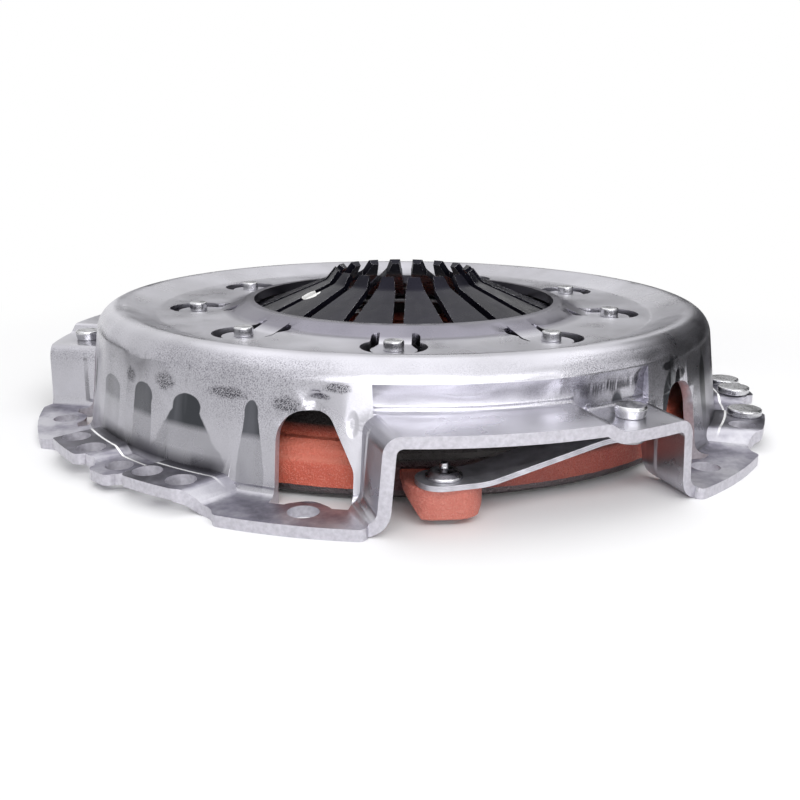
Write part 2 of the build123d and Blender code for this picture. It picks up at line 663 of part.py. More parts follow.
def assembly():
    """Every piece by its name."""
    _, upper_z, _, lower_z = fulcrum()
    pieces = {
        "cover": make_cover(),
        "diaphragm_spring": make_diaphragm_spring(),
        "upper_wire_ring": make_wire_ring(upper_z),
        "lower_wire_ring": make_wire_ring(lower_z),
        "pressure_plate": make_pressure_plate(),
    }
    for i in range(RIVETS):
        pieces[f"spring_rivet_{i + 1}"] = make_spring_rivet((i + 0.5) * 360 / RIVETS)
    for i in range(POCKETS):
        for leaf in range(LEAVES):
            pieces[f"drive_strap_{i + 1}_leaf_{leaf + 1}"] = make_strap_leaf(i * SECTOR, leaf)
        pieces[f"lug_rivet_{i + 1}"] = make_lug_rivet(i * SECTOR)
        pieces[f"cover_strap_rivet_{i + 1}"] = make_cover_strap_rivet(i * SECTOR)
    for i, (sector, hole) in enumerate(BALANCE_RIVETS):
        angle = (sector + 0.5) * SECTOR + BALANCE_ANGLES[hole]
        pieces[f"balance_rivet_{i + 1}"] = make_balance_rivet(angle)
    return pieces


if __name__ == "__main__":
    os.makedirs("parts", exist_ok=True)
    for name, piece in assembly().items():
        export_step(piece, f"parts/{name}.step")
        print(name, len(piece.solids()), round(piece.volume))
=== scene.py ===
# %% [markdown]
# # A clutch pressure plate on a white table
# The real thing is a pressed steel cover, a black diaphragm spring with eighteen fingers, and a red
# iron casting that hangs on leaf straps. The solids come from the construction files as a fixed
# frame. This script gives them the finish of steel, lacquer and primer, and models again the pieces
# whose edges, bends and heads are softer on the real thing than on a solid.

# %% The frame
import math

import bpy
from mathutils import Matrix, Vector


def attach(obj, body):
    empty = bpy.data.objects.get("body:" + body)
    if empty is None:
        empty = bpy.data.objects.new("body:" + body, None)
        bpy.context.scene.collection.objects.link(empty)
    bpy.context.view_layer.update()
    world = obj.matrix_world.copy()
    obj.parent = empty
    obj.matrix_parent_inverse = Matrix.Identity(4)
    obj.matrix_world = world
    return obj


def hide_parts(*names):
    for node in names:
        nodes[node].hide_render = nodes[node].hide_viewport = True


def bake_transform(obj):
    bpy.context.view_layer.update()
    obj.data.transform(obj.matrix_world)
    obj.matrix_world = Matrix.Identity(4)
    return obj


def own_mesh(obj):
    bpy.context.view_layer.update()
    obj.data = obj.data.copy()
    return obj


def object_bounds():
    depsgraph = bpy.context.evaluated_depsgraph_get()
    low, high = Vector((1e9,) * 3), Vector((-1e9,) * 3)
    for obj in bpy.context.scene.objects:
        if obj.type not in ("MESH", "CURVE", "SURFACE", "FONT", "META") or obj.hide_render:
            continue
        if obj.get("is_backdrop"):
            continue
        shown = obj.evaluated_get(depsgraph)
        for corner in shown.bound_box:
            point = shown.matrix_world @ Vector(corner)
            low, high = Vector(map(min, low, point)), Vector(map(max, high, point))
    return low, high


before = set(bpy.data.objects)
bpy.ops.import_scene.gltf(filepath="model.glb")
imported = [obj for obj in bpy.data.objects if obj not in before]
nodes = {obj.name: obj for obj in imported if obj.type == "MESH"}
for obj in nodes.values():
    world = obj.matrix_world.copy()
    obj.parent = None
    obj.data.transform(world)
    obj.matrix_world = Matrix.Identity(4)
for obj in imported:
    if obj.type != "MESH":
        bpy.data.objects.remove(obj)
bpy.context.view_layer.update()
bpy.ops.object.select_all(action="DESELECT")

MM = 0.001
POCKETS = 3
SECTOR = 2 * math.pi / POCKETS
HALF_SECTOR_DEG = 180 / POCKETS

# %% [markdown]
# ## Helpers for colours and nodes
# Colours are written as they look on a screen, in hex, and one function turns them to the linear
# numbers that shaders take. One more adds a node with its settings and links, so that each material
# below reads as a short list of nodes from the coordinates to the shader.

# %% Colour and node helpers


def colour(hex_text):
    """A screen colour such as #8A8A90 as linear red, green, blue and alpha."""
    channels = [int(hex_text[i:i + 2], 16) / 255 for i in (1, 3, 5)]
    linear = [c / 12.92 if c <= 0.04045 else ((c + 0.055) / 1.055) ** 2.4 for c in channels]
    return (*linear, 1.0)


def add(tree, kind, settings=None, links=None):
    """A new node. A setting is one of the node's own, a socket's value by name or number, or the
    stops of its colour ramp as (position, hex or level). A link gives a socket its source, which is
    an output or a node, whose first output is then used."""
    node = tree.nodes.new(kind)
    for name, value in (settings or {}).items():
        if name == "stops":
            elements = node.color_ramp.elements
            while len(elements) < len(value):
                elements.new(0.5)
            for element, (position, tone) in zip(elements, value):
                element.position = position
                element.color = colour(tone) if isinstance(tone, str) else (tone, tone, tone, 1.0)
        elif isinstance(name, str) and hasattr(node, name):
            setattr(node, name, value)
        else:
            node.inputs[name].default_value = colour(value) if isinstance(value, str) else value
    for name, source in (links or {}).items():
        if isinstance(source, bpy.types.Node):
            source = next(output for output in source.outputs if not output.is_unavailable)
        tree.links.new(source, node.inputs[name])
    return node


def start_material(name, **shader_settings):
    """A material's tree, its shader with its settings made, and the piece's Object coordinates."""
    material = bpy.data.materials.new(name)
    material.use_nodes = True
    tree = material.node_tree
    shader = tree.nodes["Principled BSDF"]
    for setting, value in shader_settings.items():
        shader.inputs[setting.replace("_", " ")].default_value = value
    return material, tree, shader, add(tree, "ShaderNodeTexCoord").outputs["Object"]


# Node kinds used by most materials, and the two sockets of a colour mix
NOISE, RAMP, MIX, MATH, BUMP = ("ShaderNodeTexNoise", "ShaderNodeValToRGB", "ShaderNodeMix",
                                "ShaderNodeMath", "ShaderNodeBump")
MAPPING, MAP_RANGE, SPLIT = "ShaderNodeMapping", "ShaderNodeMapRange", "ShaderNodeSeparateXYZ"
TINT = {"data_type": "RGBA", "blend_type": "MULTIPLY", 0: 1.0}
BLEND = {"data_type": "RGBA", "blend_type": "MIX"}
A, B = 6, 7

# %% [markdown]
# ## Pressed steel
# The cover is bare deep-drawn steel sheet, a dull metal of roughness near 0.3 whose grey leans to
# violet. Drawing over the punch leaves shallow upright waves in the side wall, and painted dark
# reflections hang on the wall in streaks from soft round tops. Over the shoulder the stretched
# sheet is etched with fine dark pits, in patches. The flat top stays clean, with soft clouds. Specks
# and two small knocks come from handling in the press, and dark upright streaks lie over the ledges.
# The level flange, the raised balance pads and the wall's foot behind them are darkened with painted
# shade, with a painted highlight at the fold.

# %% Pressed steel: where on the cover a point lies


def angles_round(tree, where):
    """Degrees from the middle of the first pocket, and the same from the nearest pocket, signed and
    unsigned, for the split coordinates given."""
    forward = add(tree, MATH, {"operation": "MULTIPLY", 1: -1.0}, {0: where.outputs["Y"]})
    turn = add(tree, MATH, {"operation": "ARCTAN2"}, {0: where.outputs["X"], 1: forward})
    degrees = add(tree, MATH, {"operation": "DEGREES"}, {0: turn})
    pocket_degrees = add(tree, MATH, {"operation": "WRAP", 1: HALF_SECTOR_DEG, 2: -HALF_SECTOR_DEG}, {0: degrees})
    return degrees, pocket_degrees, add(tree, MATH, {"operation": "ABSOLUTE"}, {0: pocket_degrees})


def distance_from_axis(tree, place):
    """How far a point is from the clutch axis."""
    flat = add(tree, MAPPING, {"Scale": (1.0, 1.0, 0.0)}, {"Vector": place})
    return add(tree, "ShaderNodeVectorMath", {"operation": "LENGTH"}, {0: flat}).outputs["Value"]


pressed_steel, tree, shader, place = start_material("pressed_bare_steel", Metallic=1.0)
where = add(tree, SPLIT, links={"Vector": place})
height = where.outputs["Z"]
facing = add(tree, SPLIT, links={"Vector": add(tree, "ShaderNodeTexCoord").outputs["Normal"]})
levelness = add(tree, MATH, {"operation": "ABSOLUTE"}, {0: facing.outputs["Z"]})
degrees, pocket_degrees, off_pocket = angles_round(tree, where)
radius = distance_from_axis(tree, place)
upright = add(tree, RAMP, {"stops": [(0.25, 1.0), (0.75, 0.0)]}, {"Fac": levelness})
inside_wall = add(tree, MAP_RANGE, {"From Min": 114.5 * MM, "From Max": 113 * MM}, {"Value": radius})
round_wall = add(tree, MATH, {"operation": "MULTIPLY"}, {0: upright, 1: inside_wall})
low_sheet = add(tree, MAP_RANGE, {"From Min": 20 * MM, "From Max": 18 * MM}, {"Value": height})
low_level = add(tree, MATH, {"operation": "MULTIPLY"},
                {0: add(tree, RAMP, {"stops": [(0.70, 0.0), (0.90, 1.0)]}, {"Fac": levelness}), 1: low_sheet})

# %% Pressed steel: clouds, and the pits of the stretched sheet
clouds = add(tree, RAMP, {"stops": [(0.30, "#ADACB2"), (0.52, "#C0BFC6"), (0.74, "#D0CFD6")]},
             {"Fac": add(tree, NOISE, {"Scale": 26.0, "Detail": 4.0}, {"Vector": place})})
pit_grain = add(tree, RAMP, {"stops": [(0.34, "#66646B"), (0.45, "#C6C5CA"), (0.58, "#FFFFFF")]},
                {"Fac": add(tree, NOISE, {"Scale": 3000.0, "Detail": 1.0, "Roughness": 0.8}, {"Vector": place})})
# Pits show where a slow pattern is high, on sheet that is neither level nor quite upright
patches = add(tree, RAMP, {"stops": [(0.40, 0.10), (0.58, 0.70)]},
              {"Fac": add(tree, NOISE, {"Scale": 19.0, "Detail": 3.0}, {"Vector": place})})
sloped = add(tree, RAMP, {"stops": [(0.0, 0.45), (0.25, 1.0), (0.75, 0.8), (0.95, 0.0)]}, {"Fac": levelness})
high_sheet = add(tree, MAP_RANGE, {"From Min": 13 * MM, "From Max": 23 * MM, "To Min": 0.25}, {"Value": height})
high_patches = add(tree, MATH, {"operation": "MULTIPLY"}, {0: patches, 1: high_sheet})
pitted = add(tree, MATH, {"operation": "MULTIPLY"}, {0: high_patches, 1: sloped})
pits = add(tree, MIX, BLEND | {A: "#FFFFFF"}, {0: pitted, B: pit_grain})
sheet_colour = add(tree, MIX, TINT, {A: clouds, B: pits})
# Painted shade: the level sheet low on the flange and its pads is darkened in violet-grey mottles, for the darker
# surroundings it mirrors
low_shade_mottle = add(tree, RAMP, {"stops": [(0.36, "#A3A1AA"), (0.48, "#CFCDD5"), (0.62, "#FFFFFF")]},
           {"Fac": add(tree, NOISE, {"Scale": 75.0, "Detail": 5.0, "Roughness": 0.6}, {"Vector": place})})
low_sheet_shade = add(tree, MIX, BLEND | {A: "#FFFFFF"}, {0: low_level, B: low_shade_mottle})
sheet_colour = add(tree, MIX, TINT, {A: sheet_colour, B: low_sheet_shade})
# The rim round the spring is darker
rim_shade = add(tree, RAMP, {"stops": [(0.0, "#A19FA6"), (0.7, "#ADABB2"), (1.0, "#FFFFFF")]},
                {"Fac": add(tree, MAP_RANGE, {"From Min": 54 * MM, "From Max": 66 * MM}, {"Value": radius})})
sheet_colour = add(tree, MIX, TINT, {A: sheet_colour, B: rim_shade})

# %% Pressed steel: painted dark reflections on the wall
# Painted reflection: dark streaks on the wall stand for the dark surroundings that the waved wall
# mirrors. They are columns about 5 mm wide. A column needs a higher level the higher up the wall it
# is, which rounds its top. A streak is darkest at the top and fades below.
columns = add(tree, MAPPING, {"Scale": (1.0, 1.0, 0.08)}, {"Vector": place})
column_level = add(tree, NOISE, {"Scale": 130.0, "Detail": 0.0}, {"Vector": columns})
climb = add(tree, MAP_RANGE, {"From Min": 15 * MM, "From Max": 31 * MM}, {"Value": height})
climb_cost = add(tree, MATH, {"operation": "POWER", 1: 2.0}, {0: climb})
needed = add(tree, MATH, {"operation": "MULTIPLY_ADD", 1: 0.20, 2: 0.60}, {0: climb_cost})
over = add(tree, MATH, {"operation": "SUBTRACT"}, {0: column_level, 1: needed})
reflection_streak = add(tree, MAP_RANGE, {"From Min": 0.0, "From Max": 0.025}, {"Value": over})
fading = add(tree, MAP_RANGE, {"From Min": 9 * MM, "From Max": 20 * MM, "To Min": 0.15}, {"Value": height})
elsewhere = add(tree, MATH, {"operation": "COMPARE", 1: -57.0, 2: 24.0}, {0: degrees})
clear = add(tree, MATH, {"operation": "SUBTRACT", 0: 1.0}, {1: elsewhere})
faint_reflections = add(tree, MATH, {"operation": "MULTIPLY"}, {0: reflection_streak, 1: fading})
dark_reflections = add(tree, MATH, {"operation": "MULTIPLY"}, {0: faint_reflections, 1: clear})

# Four broad painted dark reflections on the side at the left: the middle, half the width at the top
# and half the width at the foot in degrees, the heights in mm of the top and of the line below which
# the reflection is faint, and how strong the reflection is
BROAD_REFLECTIONS = ((-72.3, 3.6, 3.6, 25.6, 19.0, 0.6), (-61.4, 2.5, 2.7, 27.4, 18.4, 0.9),
               (-51.2, 2.9, 8.0, 27.2, 18.2, 1.0), (-39.5, 1.15, 2.4, 28.4, 18.6, 1.0))
wobble_noise = add(tree, NOISE, {"Scale": 200.0, "Detail": 2.0}, {"Vector": place})
for middle, top_half, foot_half, top_z, faint_z, strength in BROAD_REFLECTIONS:
    half = add(tree, MAP_RANGE, {"From Min": (top_z - 5) * MM, "From Max": 9 * MM, "To Min": top_half,
                                 "To Max": foot_half}, {"Value": height})
    off_middle = add(tree, MATH, {"operation": "SUBTRACT", 1: middle}, {0: degrees})
    across = add(tree, MATH, {"operation": "DIVIDE"}, {0: off_middle, 1: half})
    across_square = add(tree, MATH, {"operation": "MULTIPLY"}, {0: across, 1: across})
    cap = add(tree, MAP_RANGE, {"From Min": (top_z - 3.5) * MM, "From Max": top_z * MM}, {"Value": height})
    cap_square = add(tree, MATH, {"operation": "MULTIPLY_ADD"}, {0: cap, 1: cap, 2: across_square})
    rough = add(tree, MATH, {"operation": "MULTIPLY_ADD", 1: 0.5}, {0: wobble_noise, 2: cap_square})
    inside = add(tree, MAP_RANGE, {"From Min": 1.22, "From Max": 1.08}, {"Value": rough})
    reflection_strength = add(tree, MAP_RANGE, {"From Min": (faint_z - 1.2) * MM, "From Max": (faint_z + 0.8) * MM,
                                      "To Min": 0.30 * strength, "To Max": strength}, {"Value": height})
    one_reflection = add(tree, MATH, {"operation": "MULTIPLY"}, {0: inside, 1: reflection_strength})
    dark_reflections = add(tree, MATH, {"operation": "MAXIMUM"}, {0: dark_reflections, 1: one_reflection})
wall_reflections = add(tree, MATH, {"operation": "MULTIPLY"}, {0: dark_reflections, 1: round_wall})
# Painted reflection: the dark tone of the streaks
reflection_tone = add(tree, RAMP, {"stops": [(0.35, "#3F4145"), (0.65, "#63646A")]},
                {"Fac": add(tree, NOISE, {"Scale": 120.0, "Detail": 3.0}, {"Vector": columns})})
stained = add(tree, MIX, BLEND, {0: wall_reflections, A: sheet_colour, B: reflection_tone})

# %% Pressed steel: specks and spots, and painted shade at the wall's foot


def off_oval(tree, degrees, height, middle, middle_z, half_width, half_height):
    """How far a point of the wall is off an oval's middle, as a part of its half width and height."""
    across = add(tree, MAP_RANGE, {"clamp": False, "From Min": middle, "From Max": middle + half_width},
                 {"Value": degrees})
    up = add(tree, MAP_RANGE, {"clamp": False, "From Min": middle_z * MM,
                               "From Max": (middle_z + half_height) * MM}, {"Value": height})
    both = add(tree, "ShaderNodeCombineXYZ", links={"X": across, "Y": up})
    return add(tree, "ShaderNodeVectorMath", {"operation": "LENGTH"}, {0: both}).outputs["Value"]


# Each spot: its middle in degrees and mm, half its width and half its height in the same units, and
# how solid it is, from loose specks to a full spot of compound
SPOTS = ((-65.4, 28.0, 1.5, 2.2, 0.1), (-56.0, 29.2, 2.3, 2.6, 0.1), (-43.6, 29.2, 3.6, 1.6, 0.0),
         (-34.2, 27.8, 2.2, 2.2, 0.0), (-26.9, 33.0, 1.9, 1.4, 0.25), (27.4, 32.4, 1.5, 1.2, 0.9),
         (31.1, 29.0, 1.7, 1.6, 1.0), (41.4, 23.5, 1.3, 4.8, 0.8), (20.5, 31.0, 0.5, 2.6, 0.6),
         (-29.3, 30.6, 1.5, 0.9, 0.35))
ragged = add(tree, NOISE, {"Scale": 600.0, "Detail": 2.0}, {"Vector": place})
specks = add(tree, NOISE, {"Scale": 3300.0, "Detail": 1.0}, {"Vector": place})
spots = None
for middle, middle_z, half_width, half_height, solid in SPOTS:
    off = off_oval(tree, degrees, height, middle, middle_z, half_width, half_height)
    rough = add(tree, MATH, {"operation": "MULTIPLY_ADD", 1: 0.9 - 0.4 * solid}, {0: ragged, 2: off})
    patch = add(tree, MAP_RANGE, {"From Min": 1.6 - 0.2 * solid, "From Max": 1.1}, {"Value": rough})
    speck = add(tree, MAP_RANGE, {"From Min": 0.56, "From Max": 0.42, "To Min": max(0.1, solid)}, {"Value": specks})
    spot = add(tree, MATH, {"operation": "MULTIPLY"}, {0: patch, 1: speck})
    spots = add(tree, MATH, {"operation": "MAXIMUM"}, {0: spots, 1: spot}) if spots else spot
stained = add(tree, MIX, BLEND | {B: "#45444A"}, {0: spots, A: stained})
# Dark streaks on the wall above each ledge, upright and close together
streak_place = add(tree, MAPPING, {"Scale": (1.0, 1.0, 0.10)}, {"Vector": place})
streak_lines = add(tree, RAMP, {"stops": [(0.46, 1.0), (0.64, 0.0)]},
                  {"Fac": add(tree, NOISE, {"Scale": 1500.0, "Detail": 3.0}, {"Vector": streak_place})})
ragged_height = add(tree, MATH, {"operation": "MULTIPLY_ADD", 1: 6 * MM}, {0: wobble_noise, 2: height})
above_ledge = add(tree, RAMP, {"stops": [(0.0, 0.0), (0.30, 1.0), (0.60, 1.0), (1.0, 0.0)]},
                  {"Fac": add(tree, MAP_RANGE, {"From Min": 30 * MM, "From Max": 36 * MM}, {"Value": ragged_height})})
by_pad = add(tree, RAMP, {"stops": [(0.0, 0.0), (0.35, 0.3), (0.60, 0.9), (0.85, 0.8), (1.0, 0.0)]},
             {"Fac": add(tree, MAP_RANGE, {"From Min": 0.0, "From Max": 22.0}, {"Value": pocket_degrees})})
streak_band = add(tree, MATH, {"operation": "MULTIPLY"}, {0: above_ledge, 1: by_pad})
streak_wall = add(tree, MATH, {"operation": "MULTIPLY"}, {0: streak_band, 1: round_wall})
dark_streaks = add(tree, MATH, {"operation": "MULTIPLY"}, {0: streak_wall, 1: streak_lines})
stained = add(tree, MIX, BLEND | {B: "#38373C"}, {0: dark_streaks, A: stained})
# Painted shade where the wall meets the flange behind the balance pads
foot = add(tree, RAMP, {"stops": [(0.0, 0.0), (0.30, 1.0), (0.55, 0.7), (1.0, 0.0)]},
           {"Fac": add(tree, MAP_RANGE, {"From Min": 5.5 * MM, "From Max": 11.5 * MM}, {"Value": height})})
by_pads = add(tree, MAP_RANGE, {"From Min": 42.0, "From Max": 46.0}, {"Value": off_pocket})
foot_at_pads = add(tree, MATH, {"operation": "MULTIPLY"}, {0: foot, 1: by_pads})
foot_shade = add(tree, MATH, {"operation": "MULTIPLY"}, {0: foot_at_pads, 1: inside_wall})
stained = add(tree, MIX, BLEND | {B: "#4A494F"}, {0: foot_shade, A: stained})
# Painted shade darkens the raised pads' level tops, for the dark wall they mirror, and a painted highlight lies along
# their fold to the wall
on_pad = add(tree, RAMP, {"stops": [(0.0, 0.0), (0.25, 1.0), (0.75, 1.0), (1.0, 0.0)]},
             {"Fac": add(tree, MAP_RANGE, {"From Min": 6.6 * MM, "From Max": 8.0 * MM}, {"Value": height})})
pad_top = add(tree, MATH, {"operation": "MULTIPLY"}, {0: on_pad, 1: low_level})
pad_shade_mottle = add(tree, RAMP, {"stops": [(0.36, 1.0), (0.64, 0.45)]},
               {"Fac": add(tree, NOISE, {"Scale": 110.0, "Detail": 4.0}, {"Vector": place})})
pad_shade = add(tree, MATH, {"operation": "MULTIPLY"}, {0: pad_top, 1: pad_shade_mottle})
pad_shade_mask = add(tree, MATH, {"operation": "MULTIPLY"}, {0: pad_shade, 1: by_pads})
stained = add(tree, MIX, BLEND | {B: "#4E4D54"}, {0: pad_shade_mask, A: stained})
# Painted highlight along the pads' fold
fold_line = add(tree, MATH, {"operation": "COMPARE", 1: 115.0 * MM, 2: 0.35 * MM}, {0: radius})
fold_highlight = add(tree, MATH, {"operation": "MULTIPLY"}, {0: fold_line, 1: by_pads})
stained = add(tree, MIX, BLEND | {B: "#FFFFFF"}, {0: fold_highlight, A: stained})
tree.links.new(stained.outputs[2], shader.inputs["Base Color"])

# %% Pressed steel: dullness, grain and the waves of the drawn wall
dullness = add(tree, RAMP, {"stops": [(0.3, 0.24), (0.7, 0.36)]},
               {"Fac": add(tree, NOISE, {"Scale": 60.0, "Detail": 3.0}, {"Vector": place})})
duller = add(tree, MATH, {"operation": "MULTIPLY_ADD", 1: 0.16}, {0: low_level, 2: dullness})
tree.links.new(duller.outputs["Value"], shader.inputs["Roughness"])
grain = add(tree, BUMP, {"Distance": 0.02 * MM},
            {"Height": add(tree, NOISE, {"Scale": 1300.0, "Detail": 2.0}, {"Vector": place})})
wave_level = add(tree, MATH, {"operation": "MULTIPLY"},
                 {0: add(tree, NOISE, {"Scale": 55.0, "Detail": 1.0, "Roughness": 0.4}, {"Vector": columns}),
                  1: round_wall})
waves = add(tree, BUMP, {"Distance": 1.1 * MM}, {"Height": wave_level, "Normal": grain})

# Two knocks in the wall by the first window, each as a middle, half a width and half a height
KNOCKS = ((-29.3, 29.3, 1.7, 2.3), (-24.7, 23.8, 0.9, 3.6))
knocks = None
for middle, middle_z, half_width, half_height in KNOCKS:
    off = off_oval(tree, degrees, height, middle, middle_z, half_width, half_height)
    sunk = add(tree, MAP_RANGE, {"interpolation_type": "SMOOTHSTEP", "From Min": 0.35, "From Max": 1.1},
               {"Value": off})
    knocks = add(tree, MATH, {"operation": "MINIMUM"}, {0: knocks, 1: sunk}) if knocks else sunk
knocked = add(tree, BUMP, {"Distance": 0.2 * MM}, {"Height": knocks, "Normal": waves})
tree.links.new(knocked.outputs["Normal"], shader.inputs["Normal"])
print("pressed steel:", len(tree.nodes), "nodes")

# %% [markdown]
# ## Cut edges of the sheet
# Where the sheet was sheared, at its outline and round its holes, the edge is freshly cut and has
# not been stretched or stained, so it's lighter and shinier than the face.

# %% Cut edge
cut_edge, tree, shader, place = start_material("sheared_steel_edge", Metallic=0.5, Roughness=0.38)
sheared = add(tree, RAMP, {"stops": [(0.3, "#AEACB4"), (0.7, "#C4C2CA")]},
              {"Fac": add(tree, NOISE, {"Scale": 900.0, "Detail": 3.0}, {"Vector": place})})
tree.links.new(sheared.outputs["Color"], shader.inputs["Base Color"])

# %% [markdown]
# ## Black lacquer
# The spring is hardened in oil and lacquered black. Lacquer is a clear gloss over black, so its
# colour is nearly black and its brightness is all reflection, at roughness near 0.3. Its edges wear
# through to steel in handling, and one finger has a dab of white marking paint from the test bench.
# The gloss leans to violet, which its specular tint gives.

# %% Black lacquer with a paint dab
DAB_AT = (-36.1 * MM, -6.9 * MM, 43.0 * MM)
DAB_HALF = 3.5 * MM
lacquer, tree, shader, place = start_material("black_spring_lacquer", IOR=1.5, Specular_IOR_Level=0.2)
shader.inputs["Specular Tint"].default_value = colour("#D2CFEE")
dust = add(tree, RAMP, {"stops": [(0.35, "#09090F"), (0.75, "#14131C")]},
           {"Fac": add(tree, NOISE, {"Scale": 90.0, "Detail": 4.0}, {"Vector": place})})
off_dab = add(tree, "ShaderNodeVectorMath", {"operation": "DISTANCE", 1: DAB_AT}, {0: place})
dab_edge = add(tree, NOISE, {"Scale": 500.0, "Detail": 2.0}, {"Vector": place})
ragged = add(tree, MATH, {"operation": "MULTIPLY_ADD", 1: 1.6 * MM}, {0: dab_edge, 2: off_dab.outputs["Value"]})
dab = add(tree, MATH, {"operation": "LESS_THAN", 1: DAB_HALF + 0.8 * MM}, {0: ragged})
painted = add(tree, MIX, BLEND | {B: "#F2F2F0"}, {0: dab, A: dust})
tree.links.new(painted.outputs[2], shader.inputs["Base Color"])
gloss = add(tree, RAMP, {"stops": [(0.3, 0.22), (0.7, 0.36)]},
            {"Fac": add(tree, NOISE, {"Scale": 240.0, "Detail": 3.0}, {"Vector": place})})
tree.links.new(gloss.outputs["Color"], shader.inputs["Roughness"])
lacquer_skin = add(tree, BUMP, {"Distance": 0.02 * MM},
                   {"Height": add(tree, NOISE, {"Scale": 700.0, "Detail": 2.0}, {"Vector": place})})
tree.links.new(lacquer_skin.outputs["Normal"], shader.inputs["Normal"])

# %% Worn lacquer on the finger edges
worn_edge, tree, shader, place = start_material("worn_spring_edge", Metallic=0.5, Roughness=0.36)
wear = add(tree, RAMP, {"stops": [(0.34, "#77767D"), (0.52, "#E4E3EA")]},
           {"Fac": add(tree, NOISE, {"Scale": 420.0, "Detail": 3.0}, {"Vector": place})})
tree.links.new(wear.outputs["Color"], shader.inputs["Base Color"])
print("lacquer dab at mm", [round(c / MM, 1) for c in DAB_AT])

# %% [markdown]
# ## Red primer on sand-cast iron
# Iron cast in sand keeps the grain of the mould, about 1 mm here so that it shows, and painted
# glints, lighter specks in the brick red primer, stand for highlights on each grain. The casting's
# lower edge is turned after painting and is bare grey iron. Its crown, close under the spring, is
# darker, and painted shade darkens the ring in each pocket under the ledge. A painted highlight lies
# along the step round the ring.

# %% Red primer over sand casting
TURNED_EDGE_Z = 3.8 * MM
DARK_ABOVE_Z = 16.5 * MM
CASTING_R = 105 * MM
primer, tree, shader, place = start_material("red_primer_on_sand_cast_iron", IOR=1.5)
where = add(tree, SPLIT, links={"Vector": place})
from_axis = distance_from_axis(tree, place)
primer_patches = add(tree, RAMP, {"stops": [(0.30, "#B34A39"), (0.55, "#CF614B"), (0.75, "#DE7B66")]},
                     {"Fac": add(tree, NOISE, {"Scale": 45.0, "Detail": 4.0}, {"Vector": place})})
sand_grain = add(tree, NOISE, {"Scale": 1150.0, "Detail": 3.0, "Roughness": 0.7}, {"Vector": place})
# Painted highlights: lighter specks stand for glints on the grains
painted_glints = add(tree, RAMP, {"stops": [(0.52, 0.0), (0.68, 0.55)]},
             {"Fac": add(tree, NOISE, {"Scale": 2300.0, "Detail": 1.0}, {"Vector": place})})
# Painted highlight: the step round the ring and the slope above it are made lighter where they would catch the light
step_highlight = add(tree, RAMP, {"stops": [(0.0, 0.0), (0.15, 0.9), (0.30, 0.5), (0.75, 0.6), (1.0, 0.0)]},
                {"Fac": add(tree, MAP_RANGE, {"From Min": 10.2 * MM, "From Max": 17 * MM},
                            {"Value": where.outputs["Z"]})})
lit_step_red = add(tree, MIX, BLEND | {B: "#DC7E69"}, {0: step_highlight, A: primer_patches})
red = add(tree, MIX, BLEND | {B: "#DF8F7D"}, {0: painted_glints, A: lit_step_red})
turned_line = add(tree, MATH, {"operation": "MULTIPLY_ADD", 1: 0.6 * MM},
                  {0: add(tree, NOISE, {"Scale": 300.0}, {"Vector": place}), 2: where.outputs["Z"]})
low = add(tree, MATH, {"operation": "LESS_THAN", 1: TURNED_EDGE_Z + 0.3 * MM}, {0: turned_line})
on_ring = add(tree, MATH, {"operation": "LESS_THAN", 1: CASTING_R}, {0: from_axis})
bare = add(tree, MATH, {"operation": "MULTIPLY"}, {0: low, 1: on_ring})
# Painted shade under the ledge: in a pocket the dark begins lower, on the wall behind the strap
_, pocket_degrees, off_pocket = angles_round(tree, where)
pocket_shade_drop = add(tree, MAP_RANGE, {"From Min": 20.0, "From Max": 22.0, "To Min": 7 * MM, "To Max": 0.0},
           {"Value": off_pocket})
dark_height = add(tree, MATH, {"operation": "ADD"}, {0: where.outputs["Z"], 1: pocket_shade_drop})
dark_level = add(tree, MAP_RANGE, {"From Min": DARK_ABOVE_Z, "From Max": DARK_ABOVE_Z + 2.5 * MM},
                 {"Value": dark_height})
dark = add(tree, MATH, {"operation": "MULTIPLY"}, {0: dark_level, 1: on_ring})
# Painted shade under the ledge: behind the strap the ring is darkened, nearly to black at the lug's far side
pocket_shade = add(tree, RAMP, {"stops": [(0.0, 0.0), (0.304, 0.0), (0.317, 0.92), (0.43, 0.92), (0.50, 0.55),
                                       (0.70, 0.45), (0.74, 0.0)]},
                {"Fac": add(tree, MAP_RANGE, {"From Min": -HALF_SECTOR_DEG, "From Max": HALF_SECTOR_DEG},
                            {"Value": pocket_degrees})})
pocket_shade_on_ring = add(tree, MATH, {"operation": "MULTIPLY"}, {0: pocket_shade, 1: on_ring})
pocket_shaded_red = add(tree, MIX, BLEND | {B: "#2C1A24"}, {0: pocket_shade_on_ring, A: red})
# The lugs stick out and are dusty from handling
dusty = add(tree, MAP_RANGE, {"From Min": 105 * MM, "From Max": 108 * MM, "To Min": 0.0, "To Max": 0.40},
            {"Value": from_axis})
dusty_red = add(tree, MIX, BLEND | {B: "#93706B"}, {0: dusty, A: pocket_shaded_red})
# Dark over the crown above 16.5 mm, reaching lower in the pockets as painted shade
shaded = add(tree, MIX, BLEND | {B: "#1B1514"}, {0: dark, A: dusty_red})
iron = add(tree, MIX, BLEND | {B: "#5D5658"}, {0: bare, A: shaded})
tree.links.new(iron.outputs[2], shader.inputs["Base Color"])
tree.links.new(bare.outputs["Value"], shader.inputs["Metallic"])
iron_dullness = add(tree, RAMP, {"stops": [(0.0, 0.40), (1.0, 0.34)]}, {"Fac": bare})
tree.links.new(iron_dullness.outputs["Color"], shader.inputs["Roughness"])
sand = add(tree, BUMP, {"Distance": 0.6 * MM}, {"Height": sand_grain})
tree.links.new(sand.outputs["Normal"], shader.inputs["Normal"])
print("primer over iron:", len(tree.nodes), "nodes")

